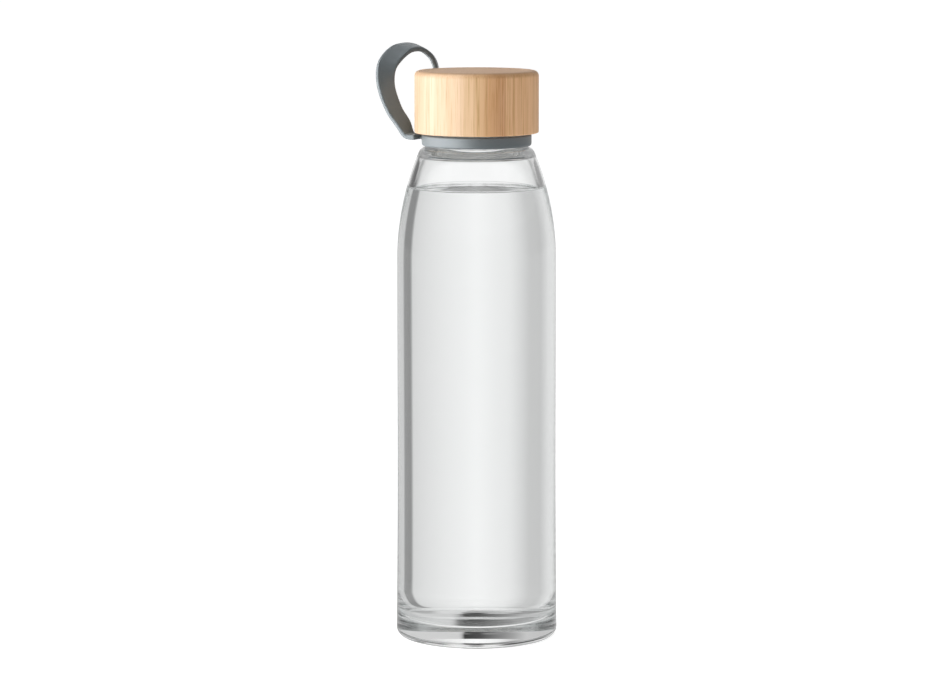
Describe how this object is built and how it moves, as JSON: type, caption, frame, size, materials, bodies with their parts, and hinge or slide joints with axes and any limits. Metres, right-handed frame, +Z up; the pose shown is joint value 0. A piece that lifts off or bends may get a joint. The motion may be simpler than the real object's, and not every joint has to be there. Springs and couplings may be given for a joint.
{
  "type": "glass water bottle",
  "caption": "Straight-sided glass drinking bottle with a screw-on bamboo lid, a sealing gasket and a silicone carrying loop that swivels on the neck.",
  "frame": {"origin": "middle of the foot, in the plane that the bottle stands on", "axes": "+Z up along the bottle's axis; the strap's loop stands out 22 degrees to the +Y side of -X"},
  "size_m": [0.0736, 0.0656, 0.2415],
  "materials": {
    "glass": "clear, polished",
    "gasket_silicone": "translucent white, matte",
    "liner_plastic": "natural white, satin",
    "bamboo": "turned, oiled, satin, fine upright grain",
    "strap_silicone": "smooth matte, cool grey"
  },
  "bodies": {
    "bottle": {"glass_bottle": "glass"},
    "seal": {"gasket": "gasket_silicone"},
    "lid": {"lid_liner": "liner_plastic", "bamboo_lid": "bamboo"},
    "collar": {"strap_collar": "strap_silicone"},
    "loop": {"strap_loop": "strap_silicone"}
  },
  "joints": [
    {"name": "lid_rise", "type": "slide", "parent": "bottle", "child": "seal", "axis": [0, 0, 1], "range_m": [0, 0.02]},
    {"name": "lid_turn", "type": "hinge", "parent": "seal", "child": "lid", "pos_m": [0, 0, 0.2145], "axis": [0, 0, 1], "range_deg": [0, 1800]},
    {"name": "strap_swivel", "type": "hinge", "parent": "bottle", "child": "collar", "pos_m": [0, 0, 0.2031], "axis": [0, 0, 1], "continuous": true},
    {"name": "strap_fold", "type": "hinge", "parent": "collar", "child": "loop", "pos_m": [-0.02151, 0.00869, 0.2043], "axis": [-0.3746, -0.9272, 0], "range_deg": [0, 100], "stiffness_Nm_per_rad": 0.01}
  ],
  "couplings": [
    {"joint": "lid_rise", "follows": "lid_turn", "m_per_rad": 0.00063662}
  ]
}
